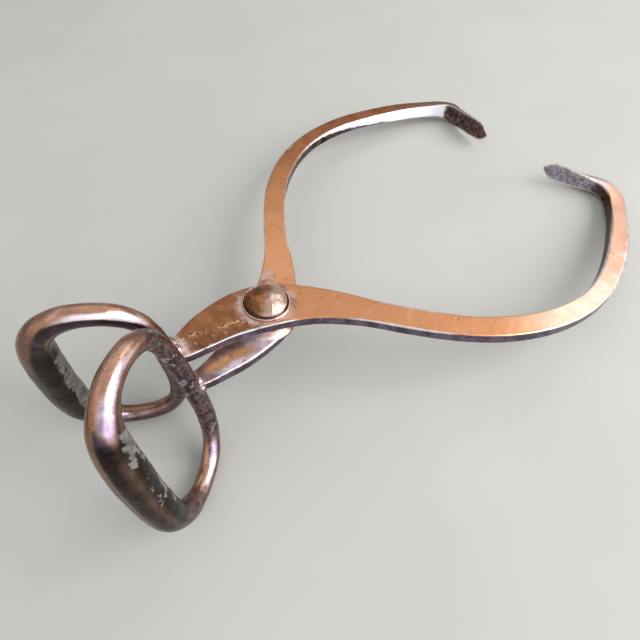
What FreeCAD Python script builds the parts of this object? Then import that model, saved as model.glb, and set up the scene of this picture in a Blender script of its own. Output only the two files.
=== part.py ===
import FreeCAD, Part
import math
import os

from FreeCAD import Vector

# Hand-forged lifting tongs with two upright ring handles.
# Frame: origin on the pivot axis, on the plane where the two bosses meet.
# +X is the symmetry line, from the pivot towards the jaw tips. +Z runs along
# the pivot rivet towards its domed head. +Y is the lower arm's jaw side.
# Millimetres.

os.makedirs("parts", exist_ok=True)

# Each arm is named by its sign, which also mirrors the lower one in Y.
UPPER, LOWER = 1, -1

# ---- arm dimensions ----
BAR_T = 6.5            # thickness of the flat bar at the shank and jaw root
BOSS_T = 10.0          # thickness of each arm at the pivot
FACE_GAP = 0.03        # half of the running gap between the two bosses
BOSS_R_TOP = 14.6      # radius of the raised boss where it meets the other arm
BOSS_R_ROOT = 16.4     # radius where the boss runs out into the bar
BOSS_EMBED = 1.0       # depth of the boss root inside the bar
CHAMFER = 0.9          # worn bevel along the long edges of the bar
CHAMFER_SHARE = 0.28   # most of the bar's width or thickness a bevel may take
SPAN = 4               # station gaps covered by each face along the bar

LOWER_DROP = 2 * BOSS_T - BAR_T   # from the upper bar down to the lower one
JAW_RISE = 12.9        # how far the lower jaw climbs from its root to the bend
BLADE_RISE = 0.6       # further climb from the bend to the tip
ROOT_STATION = 11      # where that climb starts
BEND_STATION = 29      # where the jaw turns into the blade

# ---- pivot dimensions ----
RIVET_R = 4.75
RIVET_FIT = 0.02       # radial clearance in the upper arm and the washers
RUN_FIT = 0.05         # radial running clearance in the lower arm
HEAD_R = 12.4          # domed head
HEAD_H = 6.2
TAIL_R = 9.6           # hammered tail under the lower arm
TAIL_H = 3.6
RIVET_LIP = 0.7        # upright rim below each dome, part of its height
HEAD_WASHER_R = 13.7
HEAD_WASHER_T = 1.3
TAIL_WASHER_R = 12.5
TAIL_WASHER_T = 1.5
WASHER_BEVEL = 0.5
HEAD_WASHER_SEAT = BOSS_T
TAIL_WASHER_SEAT = -(BOSS_T + 0.05)   # 0.05 clear of the lower arm

CUT_REACH = 30.0       # cutting tools run this far above and below the origin

# Outline of one arm in the XY plane, upper arm: jaw on -Y, shank on +Y.
# Each station is a cross-section: (inner x, y), (outer x, y), top z, bottom z.
# Inner is the side of the jaw throat, outer the back of the arm.
STATIONS = [
    ((-57.0, 12.6), (-60.0, 1.0), 9.4, 3.9),
    ((-50.5, 13.6), (-54.5, -1.6), 9.9, 3.5),
    ((-42.0, 16.5), (-46.5, -3.5), 10.0, 3.5),
    ((-31.5, 18.5), (-37.0, -5.2), 10.0, 3.5),
    ((-20.5, 19.4), (-27.5, -7.0), 10.0, 3.5),
    ((-11.0, 18.9), (-18.5, -9.9), 10.0, 3.5),
    ((-3.0, 17.3), (-10.5, -12.9), 10.0, 3.5),
    ((4.0, 14.7), (-4.0, -15.8), 10.0, 3.5),
    ((10.5, 11.0), (1.2, -18.2), 10.0, 3.5),
    ((17.0, 5.9), (6.5, -21.0), 10.0, 3.5),
    ((22.9, -0.4), (13.0, -25.2), 10.0, 3.5),
    ((30.9, -10.0), (20.6, -31.2), 10.0, 3.5),      # 11, jaw root
    ((39.7, -22.2), (28.6, -38.8), 10.0, 3.45),
    ((47.5, -34.9), (35.9, -47.0), 10.0, 3.4),
    ((55.7, -47.3), (43.6, -57.2), 10.0, 3.3),
    ((64.3, -59.0), (51.4, -67.5), 10.0, 3.2),
    ((74.1, -71.6), (60.4, -78.4), 10.0, 3.1),
    ((85.0, -83.5), (71.6, -90.4), 10.0, 3.0),
    ((97.0, -93.5), (84.6, -101.8), 10.0, 2.9),
    ((110.5, -102.1), (99.8, -111.9), 10.0, 2.8),
    ((126.0, -109.3), (118.5, -120.4), 10.0, 2.6),
    ((142.0, -113.2), (138.5, -125.4), 10.0, 2.4),
    ((158.5, -114.0), (158.5, -126.5), 10.0, 2.2),
    ((174.0, -112.0), (177.5, -124.5), 10.0, 2.1),
    ((189.0, -107.9), (195.5, -119.5), 10.0, 2.0),
    ((205.0, -102.0), (213.0, -112.7), 10.0, 1.9),
    ((220.0, -95.4), (229.5, -104.2), 10.0, 1.8),
    ((234.0, -88.2), (244.5, -95.0), 10.0, 1.8),
    ((245.5, -81.0), (257.4, -86.2), 10.2, 1.9),
    ((252.3, -75.4), (263.6, -78.8), 10.9, 2.3),    # 29, bend
    ((255.3, -69.6), (265.3, -70.6), 11.7, 3.0),
    ((255.3, -64.0), (263.2, -63.2), 12.3, 2.8),
    ((253.9, -57.5), (259.7, -56.6), 12.8, 2.3),
    ((252.5, -51.0), (256.9, -50.3), 13.3, 1.5),
    ((251.1, -44.5), (254.6, -43.9), 13.8, 0.7),
    ((249.7, -38.0), (252.5, -37.6), 14.1, 0.3),
    ((248.8, -33.5), (251.0, -33.2), 13.4, 0.7),
    ((248.0, -29.8), (249.6, -29.6), 11.2, 2.9),
    ((247.3, -26.6), (248.1, -26.5), 8.6, 6.4),
]
# The lower arm is the same pattern mirrored, with a slimmer shank.
# Station: (inner x, y), (outer x, y).
LOWER_SHANK = {
    0: ((-57.5, 11.8), (-58.0, 3.4)),
    1: ((-51.5, 13.9), (-53.0, 2.9)),
    2: ((-42.5, 15.5), (-45.8, 1.7)),
    3: ((-31.5, 16.9), (-37.0, -0.6)),
    4: ((-20.5, 17.3), (-27.5, -4.3)),
    5: ((-11.5, 16.8), (-18.7, -8.4)),
    6: ((-3.2, 15.8), (-10.8, -12.2)),
    7: ((4.0, 13.9), (-4.0, -15.6)),
}
# Its blade is thinner and deeper. Station: (outer x, y), bottom z.
LOWER_BLADE = {
    27: ((243.7, -94.5), 1.4),
    28: ((255.2, -85.2), 0.9),
    29: ((259.6, -77.6), -0.1),
    30: ((261.1, -70.2), -2.2),
    31: ((259.3, -63.6), -2.7),
    32: ((257.1, -57.0), -2.1),
    33: ((255.3, -50.6), -1.5),
    34: ((253.7, -44.1), -1.1),
    35: ((252.2, -37.6), -0.3),
}

# The gripping face of the blade is an upright plane through two plan points,
# given for the upper arm. It starts at GRIP_FROM_Y and runs out past the tip.
GRIP_BEND_END = (255.55, -64.0)
GRIP_TIP_END = (247.50, -26.6)
GRIP_FROM_Y = -60.0
GRIP_OVERRUN = 6.0
GRIP_CUT_DEPTH = 6.0

# ---- ring handle dimensions ----
RING_FLARE = {UPPER: 30.6, LOWER: 35.3}   # outward from -X, degrees
RING_LEAN = {UPPER: 82.1, LOWER: 79.1}    # ring plane against the arms, degrees
RING_ROOT = {UPPER: Vector(-54.7, 5.6, -2.0), LOWER: Vector(-55.2, -6.1, 0.1)}
RING_SUB = 2           # sections per span of the ring table

# Ring handle centreline in its own plane and bar radius along it: (out, up, r).
# It starts and ends at the shank; the hand grip is the swollen far side.
RING = [
    (5.5, 8.7, 5.1), (4.7, -3.0, 5.2), (4.2, -15.1, 5.2), (4.7, -27.3, 5.1),
    (6.6, -38.9, 5.0), (10.4, -48.6, 4.9), (16.4, -55.7, 5.0),
    (24.4, -59.5, 5.0), (34.1, -60.6, 5.1), (43.4, -58.7, 5.5),
    (51.0, -54.0, 6.2), (56.5, -47.2, 7.1), (59.8, -39.6, 8.1),
    (61.6, -31.2, 8.9), (62.3, -21.5, 9.3), (62.6, -10.5, 9.4),
    (62.4, 2.0, 9.4), (61.8, 14.6, 9.4), (60.8, 26.0, 9.1),
    (59.5, 34.9, 8.5), (57.2, 41.6, 7.7), (53.2, 47.4, 6.8),
    (47.0, 52.2, 6.1), (38.8, 54.9, 5.6), (29.1, 54.5, 5.3),
    (20.1, 51.2, 5.2), (13.6, 45.1, 4.9), (9.6, 36.9, 4.8),
    (7.3, 27.2, 4.8), (6.1, 17.5, 5.0),
]

# Weld metal between shank and ring, centred this far out from the ring root.
WELD_OUT = 1.4
WELD_Z = {UPPER: 6.7, LOWER: -6.8}
# Its lumps, for the upper arm: offset x, y, z from the weld centre, radius.
WELD_LUMPS = [
    (0.6, 0.4, 0.0, 6.3),
    (1.6, 4.6, 0.6, 4.4),
    (2.2, -4.4, -0.3, 4.2),
    (-1.0, 0.6, 4.6, 4.6),
    (-1.2, 0.2, -4.8, 4.4),
]


def one_solid(shape):
    """The largest solid, so that slivers left by a boolean are dropped."""
    return max(shape.Solids, key=lambda solid: solid.Volume)


def polygon_face(points):
    return Part.Face(Part.makePolygon(points + [points[0]]))


# ---- arms ----
def bar_section(inner, outer, top, bottom, side, lift):
    """Chamfered rectangle across the bar, eight corners."""
    start = Vector(inner[0], inner[1] * side, 0)
    across = Vector(outer[0], outer[1] * side, 0) - start
    width = across.Length
    across = across * (1 / width)
    bevel = min(CHAMFER, CHAMFER_SHARE * width, CHAMFER_SHARE * (top - bottom))
    corners = [
        (bevel, top), (width - bevel, top),
        (width, top - bevel), (width, bottom + bevel),
        (width - bevel, bottom), (bevel, bottom),
        (0.0, bottom + bevel), (0.0, top - bevel),
    ]
    return [start + across * u + Vector(0, 0, z + lift) for u, z in corners]


def path_lengths():
    """Distance along the middle of the arm at each station."""
    middles = [(0.5 * (inner[0] + outer[0]), 0.5 * (inner[1] + outer[1]))
               for inner, outer, top, bottom in STATIONS]
    path = [0.0]
    for (x0, y0), (x1, y1) in zip(middles, middles[1:]):
        path.append(path[-1] + math.hypot(x1 - x0, y1 - y0))
    return path


def lower_lift(i, path):
    """Height of a lower arm station against the same upper one."""
    climb = (path[i] - path[ROOT_STATION]) / (path[BEND_STATION] - path[ROOT_STATION])
    climb = min(1.0, max(0.0, climb))
    lift = -LOWER_DROP + JAW_RISE * climb * climb * (1.5 - 0.5 * climb)
    if i >= BEND_STATION:
        lift += BLADE_RISE * (i - BEND_STATION) / (len(STATIONS) - 1 - BEND_STATION)
    return lift


def strip_solid(rows, params):
    """Closed bar through matching corner points: ruled strips along each side,
    cut into spans so that each face stays short."""
    corner_count = len(rows[0])
    curves = []
    for k in range(corner_count):
        curve = Part.BSplineCurve()
        curve.interpolate(Points=[row[k] for row in rows], Parameters=params)
        curves.append(curve)
    faces = []
    cuts = list(range(0, len(rows) - 1, SPAN)) + [len(rows) - 1]
    for i0, i1 in zip(cuts, cuts[1:]):
        edges = [curve.toShape(params[i0], params[i1]) for curve in curves]
        for k in range(corner_count):
            strip = Part.makeRuledSurface(edges[k], edges[(k + 1) % corner_count], 1)
            faces.append(strip.Faces[0])
    faces += [polygon_face(rows[0]), polygon_face(rows[-1])]
    shell = Part.makeShell(faces)
    shell.sewShape()
    # sewing may wrap the shell in a compound, or leave it inside out
    solid = Part.makeSolid(shell if shell.ShapeType == "Shell" else shell.Shells[0])
    if solid.Volume < 0:
        solid.reverse()
    return solid


def arm_bar(side):
    path = path_lengths()
    rows = []
    for i, (inner, outer, top, bottom) in enumerate(STATIONS):
        lift = 0.0
        if side == LOWER:
            inner, outer = LOWER_SHANK.get(i, (inner, outer))
            outer, bottom = LOWER_BLADE.get(i, (outer, bottom))
            lift = lower_lift(i, path)
        rows.append(bar_section(inner, outer, top, bottom, side, lift))
    return strip_solid(rows, path)


def boss(side):
    """Raised boss on the side that faces the other arm."""
    root = BOSS_T - BAR_T + BOSS_EMBED
    return Part.makeCone(BOSS_R_ROOT, BOSS_R_TOP, root - FACE_GAP,
                         Vector(0, 0, side * root), Vector(0, 0, -side))


def grip_cutter(side):
    """Block on the throat side of the gripping plane."""
    bend_end = Vector(*GRIP_BEND_END, -CUT_REACH)
    tip_end = Vector(*GRIP_TIP_END, -CUT_REACH)
    along = tip_end - bend_end
    along = along * (1 / along.Length)
    start = bend_end + along * ((GRIP_FROM_Y - bend_end.y) / along.y)
    end = tip_end + along * GRIP_OVERRUN
    depth = Vector(-along.y, along.x, 0) * GRIP_CUT_DEPTH
    quad = [start, end, end + depth, start + depth]
    quad = [Vector(p.x, p.y * side, p.z) for p in quad]
    return polygon_face(quad).extrude(Vector(0, 0, 2 * CUT_REACH))


def arm(side):
    bore_r = RIVET_R + (RIVET_FIT if side == UPPER else RUN_FIT)
    bore = Part.makeCylinder(bore_r, 2 * CUT_REACH,
                             Vector(0, 0, -CUT_REACH), Vector(0, 0, 1))
    return one_solid(arm_bar(side).fuse(boss(side)).cut(grip_cutter(side)).cut(bore))


# ---- ring handles ----
def ring_axes(side):
    """Unit vectors of the ring plane: out from the shank, and up."""
    flare = math.radians(RING_FLARE[side])
    lean = math.radians(RING_LEAN[side])
    out = Vector(-math.cos(flare), side * math.sin(flare), 0)
    up = Vector(-math.sin(flare) * math.cos(lean),
                -side * math.cos(flare) * math.cos(lean),
                math.sin(lean))
    return out, up


def ring_radius(i, t):
    """Catmull-Rom blend of the bar radius, a fraction t past ring point i."""
    r0, r1, r2, r3 = (RING[(i + j) % len(RING)][2] for j in (-1, 0, 1, 2))
    return 0.5 * (2 * r1 + (r2 - r0) * t + (2 * r0 - 5 * r1 + 4 * r2 - r3) * t * t
                  + (3 * r1 - r0 - 3 * r2 + r3) * t ** 3)


def ring_handle(side):
    out, up = ring_axes(side)
    points = [RING_ROOT[side] + out * u + up * v for u, v, radius in RING]
    curve = Part.BSplineCurve()
    curve.interpolate(Points=points, PeriodicFlag=True)
    knots = [curve.FirstParameter]
    knots += [curve.parameter(point) for point in points[1:]]
    knots.append(curve.LastParameter)
    wires = []
    for i in range(len(points)):
        for k in range(RING_SUB):
            t = k / RING_SUB
            u = knots[i] + (knots[i + 1] - knots[i]) * t
            circle = Part.Circle(curve.value(u), curve.tangent(u)[0], ring_radius(i, t))
            wires.append(Part.Wire(circle.toShape()))
    # two half loops joined on flat faces, one at the shank and one at the grip
    half = len(wires) // 2
    first = Part.makeLoft(wires[: half + 1], True, True)
    second = Part.makeLoft(wires[half:] + [wires[0]], True, True)
    return one_solid(first.fuse(second))


def handle_weld(side):
    out, up = ring_axes(side)
    centre = RING_ROOT[side] + out * WELD_OUT
    centre.z = WELD_Z[side]
    lumps = [Part.makeSphere(radius, centre + Vector(x, y * side, z))
             for x, y, z, radius in WELD_LUMPS]
    weld = lumps[0]
    for lump in lumps[1:]:
        weld = weld.fuse(lump)
    return one_solid(weld)


# ---- rivet and washers ----
# Profiles lie in the XZ plane. `up` is 1 at the head end and -1 at the tail.
def revolve(edges):
    face = Part.Face(Part.Wire(edges))
    return one_solid(face.revolve(Vector(0, 0, 0), Vector(0, 0, 1), 360))


def lines(points):
    return [Part.makeLine(a, b) for a, b in zip(points, points[1:])]


def dome(radius, height, base_z, up):
    """Rim, middle and apex of a low dome's profile arc."""
    sphere_r = (radius * radius + height * height) / (2 * height)
    centre_z = base_z + up * (height - sphere_r)
    angle = 0.5 * math.asin(radius / sphere_r)
    middle = Vector(sphere_r * math.sin(angle), 0,
                    centre_z + up * sphere_r * math.cos(angle))
    return Vector(radius, 0, base_z), middle, Vector(0, 0, base_z + up * height)


def pivot_rivet():
    head_z = HEAD_WASHER_SEAT + HEAD_WASHER_T
    tail_z = TAIL_WASHER_SEAT - TAIL_WASHER_T
    head_rim, head_mid, head_apex = dome(
        HEAD_R, HEAD_H - RIVET_LIP, head_z + RIVET_LIP, 1)
    tail_rim, tail_mid, tail_apex = dome(
        TAIL_R, TAIL_H - RIVET_LIP, tail_z - RIVET_LIP, -1)
    return revolve([
        Part.Arc(head_rim, head_mid, head_apex).toShape(),
        Part.makeLine(head_apex, tail_apex),
        Part.Arc(tail_apex, tail_mid, tail_rim).toShape(),
    ] + lines([
        tail_rim,
        Vector(TAIL_R, 0, tail_z),
        Vector(RIVET_R, 0, tail_z),
        Vector(RIVET_R, 0, head_z),
        Vector(HEAD_R, 0, head_z),
        head_rim,
    ]))


def washer(radius, seat_z, thickness, up):
    """Flat on the arm, bevelled round the edge away from it."""
    bore_r = RIVET_R + RIVET_FIT
    far_z = seat_z + up * thickness
    points = [
        Vector(bore_r, 0, seat_z),
        Vector(radius, 0, seat_z),
        Vector(radius, 0, far_z - up * WASHER_BEVEL),
        Vector(radius - WASHER_BEVEL, 0, far_z),
        Vector(bore_r, 0, far_z),
    ]
    return revolve(lines(points + points[:1]))


pieces = {
    "upper_arm": arm(UPPER),
    "lower_arm": arm(LOWER),
    "upper_ring_handle": ring_handle(UPPER),
    "lower_ring_handle": ring_handle(LOWER),
    "upper_handle_weld": handle_weld(UPPER),
    "lower_handle_weld": handle_weld(LOWER),
    "pivot_rivet": pivot_rivet(),
    "rivet_head_washer": washer(HEAD_WASHER_R, HEAD_WASHER_SEAT, HEAD_WASHER_T, 1),
    "rivet_tail_washer": washer(TAIL_WASHER_R, TAIL_WASHER_SEAT, TAIL_WASHER_T, -1),
}
for name, shape in pieces.items():
    shape.exportStep(os.path.join("parts", name + ".step"))
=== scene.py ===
import math
from types import SimpleNamespace

import bmesh
import bpy
import numpy as np
from mathutils import Matrix, Vector


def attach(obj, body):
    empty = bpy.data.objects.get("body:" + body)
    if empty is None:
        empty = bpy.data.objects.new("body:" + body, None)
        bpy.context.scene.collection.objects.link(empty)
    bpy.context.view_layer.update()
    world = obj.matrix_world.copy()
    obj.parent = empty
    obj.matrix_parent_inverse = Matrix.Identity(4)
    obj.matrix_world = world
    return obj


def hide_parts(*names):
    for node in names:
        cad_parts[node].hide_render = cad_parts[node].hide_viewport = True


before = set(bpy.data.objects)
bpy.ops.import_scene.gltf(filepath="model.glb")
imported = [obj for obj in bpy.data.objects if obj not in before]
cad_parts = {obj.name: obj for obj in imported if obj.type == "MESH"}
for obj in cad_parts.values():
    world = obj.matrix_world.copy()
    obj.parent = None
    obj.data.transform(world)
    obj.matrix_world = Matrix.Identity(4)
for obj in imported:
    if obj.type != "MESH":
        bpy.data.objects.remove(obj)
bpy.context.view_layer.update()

MM = 0.001

# ------------------------------------------------------------------ sizes and stations, mm
BAR_T, BOSS_T, FACE_GAP = 6.5, 10.0, 0.03
BOSS_R_TOP, BOSS_R_ROOT, BORE_R = 14.6, 16.4, 4.80
JAW_RISE, TIP_RISE = 12.9, 0.6                   # how far the lower arm climbs along its length
RISE_FROM, BEND = 11, 29                         # stations where the climb starts and the bar turns
EYE = np.array([-115.5, -152.8, 232.6])          # the main viewpoint

# Upper arm's bar: inner edge x, y, outer edge x, y, top z, bottom z.
# The inner edge is the +Y one at the root and faces the other arm in the jaws.
STATIONS = [
    (-57.0, 12.6, -60.0, 1.0, 9.4, 3.9), (-50.5, 13.6, -54.5, -1.6, 9.9, 3.5),
    (-42.0, 16.5, -46.5, -3.5, 10.0, 3.5), (-31.5, 18.5, -37.0, -5.2, 10.0, 3.5),
    (-20.5, 19.4, -27.5, -7.0, 10.0, 3.5), (-11.0, 18.9, -18.5, -9.9, 10.0, 3.5),
    (-3.0, 17.3, -10.5, -12.9, 10.0, 3.5), (4.0, 14.7, -4.0, -15.8, 10.0, 3.5),
    (10.5, 11.0, 1.2, -18.2, 10.0, 3.5), (17.0, 5.9, 6.5, -21.0, 10.0, 3.5),
    (22.9, -0.4, 13.0, -25.2, 10.0, 3.5), (30.9, -10.0, 20.6, -31.2, 10.0, 3.5),
    (39.7, -22.2, 28.6, -38.8, 10.0, 3.45), (47.5, -34.9, 35.9, -47.0, 10.0, 3.4),
    (55.7, -47.3, 43.6, -57.2, 10.0, 3.3), (64.3, -59.0, 51.4, -67.5, 10.0, 3.2),
    (74.1, -71.6, 60.4, -78.4, 10.0, 3.1), (85.0, -83.5, 71.6, -90.4, 10.0, 3.0),
    (97.0, -93.5, 84.6, -101.8, 10.0, 2.9), (110.5, -102.1, 99.8, -111.9, 10.0, 2.8),
    (126.0, -109.3, 118.5, -120.4, 10.0, 2.6), (142.0, -113.2, 138.5, -125.4, 10.0, 2.4),
    (158.5, -114.0, 158.5, -126.5, 10.0, 2.2), (174.0, -112.0, 177.5, -124.5, 10.0, 2.1),
    (189.0, -107.9, 195.5, -119.5, 10.0, 2.0), (205.0, -102.0, 213.0, -112.7, 10.0, 1.9),
    (220.0, -95.4, 229.5, -104.2, 10.0, 1.8), (234.0, -88.2, 244.5, -95.0, 10.0, 1.8),
    (245.5, -81.0, 257.4, -86.2, 10.2, 1.9), (252.3, -75.4, 263.6, -78.8, 10.9, 2.3),
    (255.3, -69.6, 265.3, -70.6, 11.7, 3.0), (255.3, -64.0, 263.2, -63.2, 12.3, 2.8),
    (253.9, -57.5, 259.7, -56.6, 12.8, 2.3), (252.5, -51.0, 256.9, -50.3, 13.3, 1.5),
    (251.1, -44.5, 254.6, -43.9, 13.8, 0.7), (249.7, -38.0, 252.5, -37.6, 14.1, 0.3),
    (248.8, -33.5, 251.0, -33.2, 13.4, 0.7), (248.0, -29.8, 249.6, -29.6, 11.2, 2.9),
    (247.3, -26.6, 248.1, -26.5, 8.6, 6.4),
]
# The lower arm's own edges, before mirroring: inner x, y, outer x, y of its first stations
LOWER_SHANK = [
    (-57.5, 11.8, -58.0, 3.4), (-51.5, 13.9, -53.0, 2.9), (-42.5, 15.5, -45.8, 1.7),
    (-31.5, 16.9, -37.0, -0.6), (-20.5, 17.3, -27.5, -4.3), (-11.5, 16.8, -18.7, -8.4),
    (-3.2, 15.8, -10.8, -12.2), (4.0, 13.9, -4.0, -15.6),
]
# Outer x, y and bottom z from station BLADE_FIRST on
BLADE_FIRST = 27
LOWER_BLADE = [
    (243.7, -94.5, 1.4), (255.2, -85.2, 0.9), (259.6, -77.6, -0.1), (261.1, -70.2, -2.2),
    (259.3, -63.6, -2.7), (257.1, -57.0, -2.1), (255.3, -50.6, -1.5), (253.7, -44.1, -1.1),
    (252.2, -37.6, -0.3),
]
# The flat gripping face runs through these two points, from this y on
GRIP_A, GRIP_B, GRIP_FROM_Y = (255.55, -64.0), (247.50, -26.6), -60.0
GRIP_LEN = math.hypot(GRIP_B[0] - GRIP_A[0], GRIP_B[1] - GRIP_A[1])
GRIP_NORMAL = (-(GRIP_B[1] - GRIP_A[1]) / GRIP_LEN, (GRIP_B[0] - GRIP_A[0]) / GRIP_LEN)

# Ring planes, upper then lower: flare from -X and lean from flat in degrees, root point
RING_FLARE, RING_LEAN = (30.6, 35.3), (82.1, 79.1)
RING_ROOT = ((-54.7, 5.6, -2.0), (-55.2, -6.1, 0.1))
# Closed centreline in the ring's plane: out from the root, up, bar radius
RING = [
    (5.5, 8.7, 5.1), (4.7, -3.0, 5.2), (4.2, -15.1, 5.2), (4.7, -27.3, 5.1),
    (6.6, -38.9, 5.0), (10.4, -48.6, 4.9), (16.4, -55.7, 5.0),
    (24.4, -59.5, 5.0), (34.1, -60.6, 5.1), (43.4, -58.7, 5.5),
    (51.0, -54.0, 6.2), (56.5, -47.2, 7.1), (59.8, -39.6, 8.1),
    (61.6, -31.2, 8.9), (62.3, -21.5, 9.3), (62.6, -10.5, 9.4),
    (62.4, 2.0, 9.4), (61.8, 14.6, 9.4), (60.8, 26.0, 9.1),
    (59.5, 34.9, 8.5), (57.2, 41.6, 7.7), (53.2, 47.4, 6.8),
    (47.0, 52.2, 6.1), (38.8, 54.9, 5.6), (29.1, 54.5, 5.3),
    (20.1, 51.2, 5.2), (13.6, 45.1, 4.9), (9.6, 36.9, 4.8),
    (7.3, 27.2, 4.8), (6.1, 17.5, 5.0),
]


def path_lengths():
    """Distance along the bar's middle to each station."""
    path = [0.0]
    for a, b in zip(STATIONS, STATIONS[1:]):
        path.append(path[-1] + math.hypot(0.5 * (a[0] + a[2] - b[0] - b[2]),
                                          0.5 * (a[1] + a[3] - b[1] - b[3])))
    return np.array(path)


PATH = path_lengths()


# ------------------------------------------------------------------ number helpers
def value_noise(p, seed):
    """Smooth noise in [-1, 1] at each row of p, fixed by seed."""
    cell = np.floor(p).astype(np.int64)
    f = p - cell
    ease = f * f * f * (f * (f * 6 - 15) + 10)

    def lattice(x, y, z):
        n = (x * 374761393 + y * 668265263 + z * 2147483647 + seed * 1274126177) & 0xFFFFFFFF
        n = ((n ^ (n >> 13)) * 1274126177) & 0xFFFFFFFF
        n = ((n ^ (n >> 16)) * 2246822519) & 0xFFFFFFFF
        n = n ^ (n >> 15)
        return (n & 0xFFFFFF) / float(0xFFFFFF) * 2 - 1

    total = 0
    for corner in np.ndindex(2, 2, 2):
        wx, wy, wz = np.where(np.array(corner, bool), ease, 1 - ease).T
        total = total + wx * wy * wz * lattice(*(cell + np.array(corner)).T)
    return total


def fbm(p, size, seed, octaves=3):
    """Layered noise in [-1, 1]; size is the largest feature in mm."""
    total, amp, weight = 0, 1.0, 0.0
    q = p / size
    for k in range(octaves):
        total = total + amp * value_noise(q * (2.03 ** k) + 17.3 * k, seed + k)
        weight += amp
        amp *= 0.5
    return total / weight


def smooth(start, end, x):
    """Eased step from 0 at start to 1 at end; start may be the larger."""
    t = np.clip((x - start) / (end - start), 0, 1)
    return t * t * (3 - 2 * t)


def bell(x):
    return np.exp(-x ** 2)


def cubic(x, y):
    """Natural cubic spline through the rows of y at x, returned as a function."""
    x = np.asarray(x, float)
    n = len(x)
    gap = np.diff(x)
    system = np.zeros((n, n))
    bends = np.zeros((n, y.shape[1]))
    system[0, 0] = system[-1, -1] = 1
    for i in range(1, n - 1):
        system[i, i - 1:i + 2] = gap[i - 1], 2 * (gap[i - 1] + gap[i]), gap[i]
        bends[i] = 6 * ((y[i + 1] - y[i]) / gap[i] - (y[i] - y[i - 1]) / gap[i - 1])
    m = np.linalg.solve(system, bends)

    def value(t):
        k = np.clip(np.searchsorted(x, t, side="right") - 1, 0, n - 2)
        h = gap[k][:, None]
        after = (x[k + 1] - t)[:, None]
        before = (t - x[k])[:, None]
        return ((m[k] * after ** 3 + m[k + 1] * before ** 3) / (6 * h)
                + (y[k] / h - m[k] * h / 6) * after
                + (y[k + 1] / h - m[k + 1] * h / 6) * before)

    return value


# ------------------------------------------------------------------ mesh helpers
def new_object(name, verts, faces):
    """Smooth-shaded object with outward normals."""
    mesh = bpy.data.meshes.new(name)
    mesh.from_pydata([tuple(v) for v in verts], [], faces)
    mesh.validate()
    mesh.update()
    ob = bpy.data.objects.new(name, mesh)
    bpy.context.scene.collection.objects.link(ob)
    mesh.polygons.foreach_set("use_smooth", [True] * len(mesh.polygons))
    bm = bmesh.new()
    bm.from_mesh(mesh)
    bmesh.ops.recalc_face_normals(bm, faces=bm.faces)
    bm.to_mesh(mesh)
    bm.free()
    mesh.update()
    return ob


def tube_faces(rings, size, closed=False):
    """Quads joining rings of size vertices each, end to end if closed."""
    faces = []
    for i in range(rings if closed else rings - 1):
        a, b = i * size, (i + 1) % rings * size
        for k in range(size):
            k2 = (k + 1) % size
            faces.append((a + k, b + k, b + k2, a + k2))
    return faces


def apply_mods(ob):
    graph = bpy.context.evaluated_depsgraph_get()
    mesh = bpy.data.meshes.new_from_object(ob.evaluated_get(graph))
    old = ob.data
    ob.modifiers.clear()
    ob.data = mesh
    mesh.name = ob.name
    bpy.data.meshes.remove(old)
    mesh.polygons.foreach_set("use_smooth", [True] * len(mesh.polygons))
    mesh.update()


def boolean(ob, other, operation):
    """Combine other into ob and discard it."""
    mod = ob.modifiers.new("b", "BOOLEAN")
    mod.operation = operation
    mod.solver = "EXACT"
    mod.object = other
    apply_mods(ob)
    bpy.data.objects.remove(other)


def surface(ob):
    """Vertex places and normals, each an (n, 3) array."""
    fields = []
    for field in ("co", "normal"):
        flat = np.zeros(len(ob.data.vertices) * 3, np.float32)
        ob.data.vertices.foreach_get(field, flat)
        fields.append(flat.reshape(-1, 3).astype(float))
    return fields


def set_coords(ob, c):
    """Write places given in mm as metres."""
    ob.data.vertices.foreach_set("co", (c * MM).astype(np.float32).ravel())
    ob.data.update()


def set_masks(ob, **masks):
    """Store vertex attributes, clamped to 0..1, for the materials to read."""
    for name, values in masks.items():
        layer = ob.data.attributes.new(name, "FLOAT", "POINT")
        layer.data.foreach_set("value", np.clip(values, 0, 1).astype(np.float32))


def lathe(name, profile, seg):
    """Body of revolution about Z from (r, z) points: axis to axis, or a closed ring."""
    verts, faces, rings = [], [], []
    for r, z in profile:
        if r < 1e-9:
            rings.append([len(verts)])
            verts.append((0, 0, z))
            continue
        rings.append(list(range(len(verts), len(verts) + seg)))
        for k in range(seg):
            a = 2 * math.pi * k / seg
            verts.append((r * math.cos(a), r * math.sin(a), z))
    pairs = list(zip(rings, rings[1:]))
    if profile[0][0] > 1e-9:
        pairs.append((rings[-1], rings[0]))
    for a, b in pairs:
        for k in range(seg):
            k2 = (k + 1) % seg
            if len(a) == 1:
                faces.append((a[0], b[k], b[k2]))
            elif len(b) == 1:
                faces.append((a[k], b[0], a[k2]))
            else:
                faces.append((a[k], b[k], b[k2], a[k2]))
    return new_object(name, verts, faces)


# ------------------------------------------------------------------ arms
SECTIONS = 560                                   # cross-sections along the bar
FLAT_STEPS, SIDE_STEPS, CORNER_STEPS = 15, 10, 7  # steps round one cross-section
CROWN = 0.10                                     # bulge of the flats where the bar is wide


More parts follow.
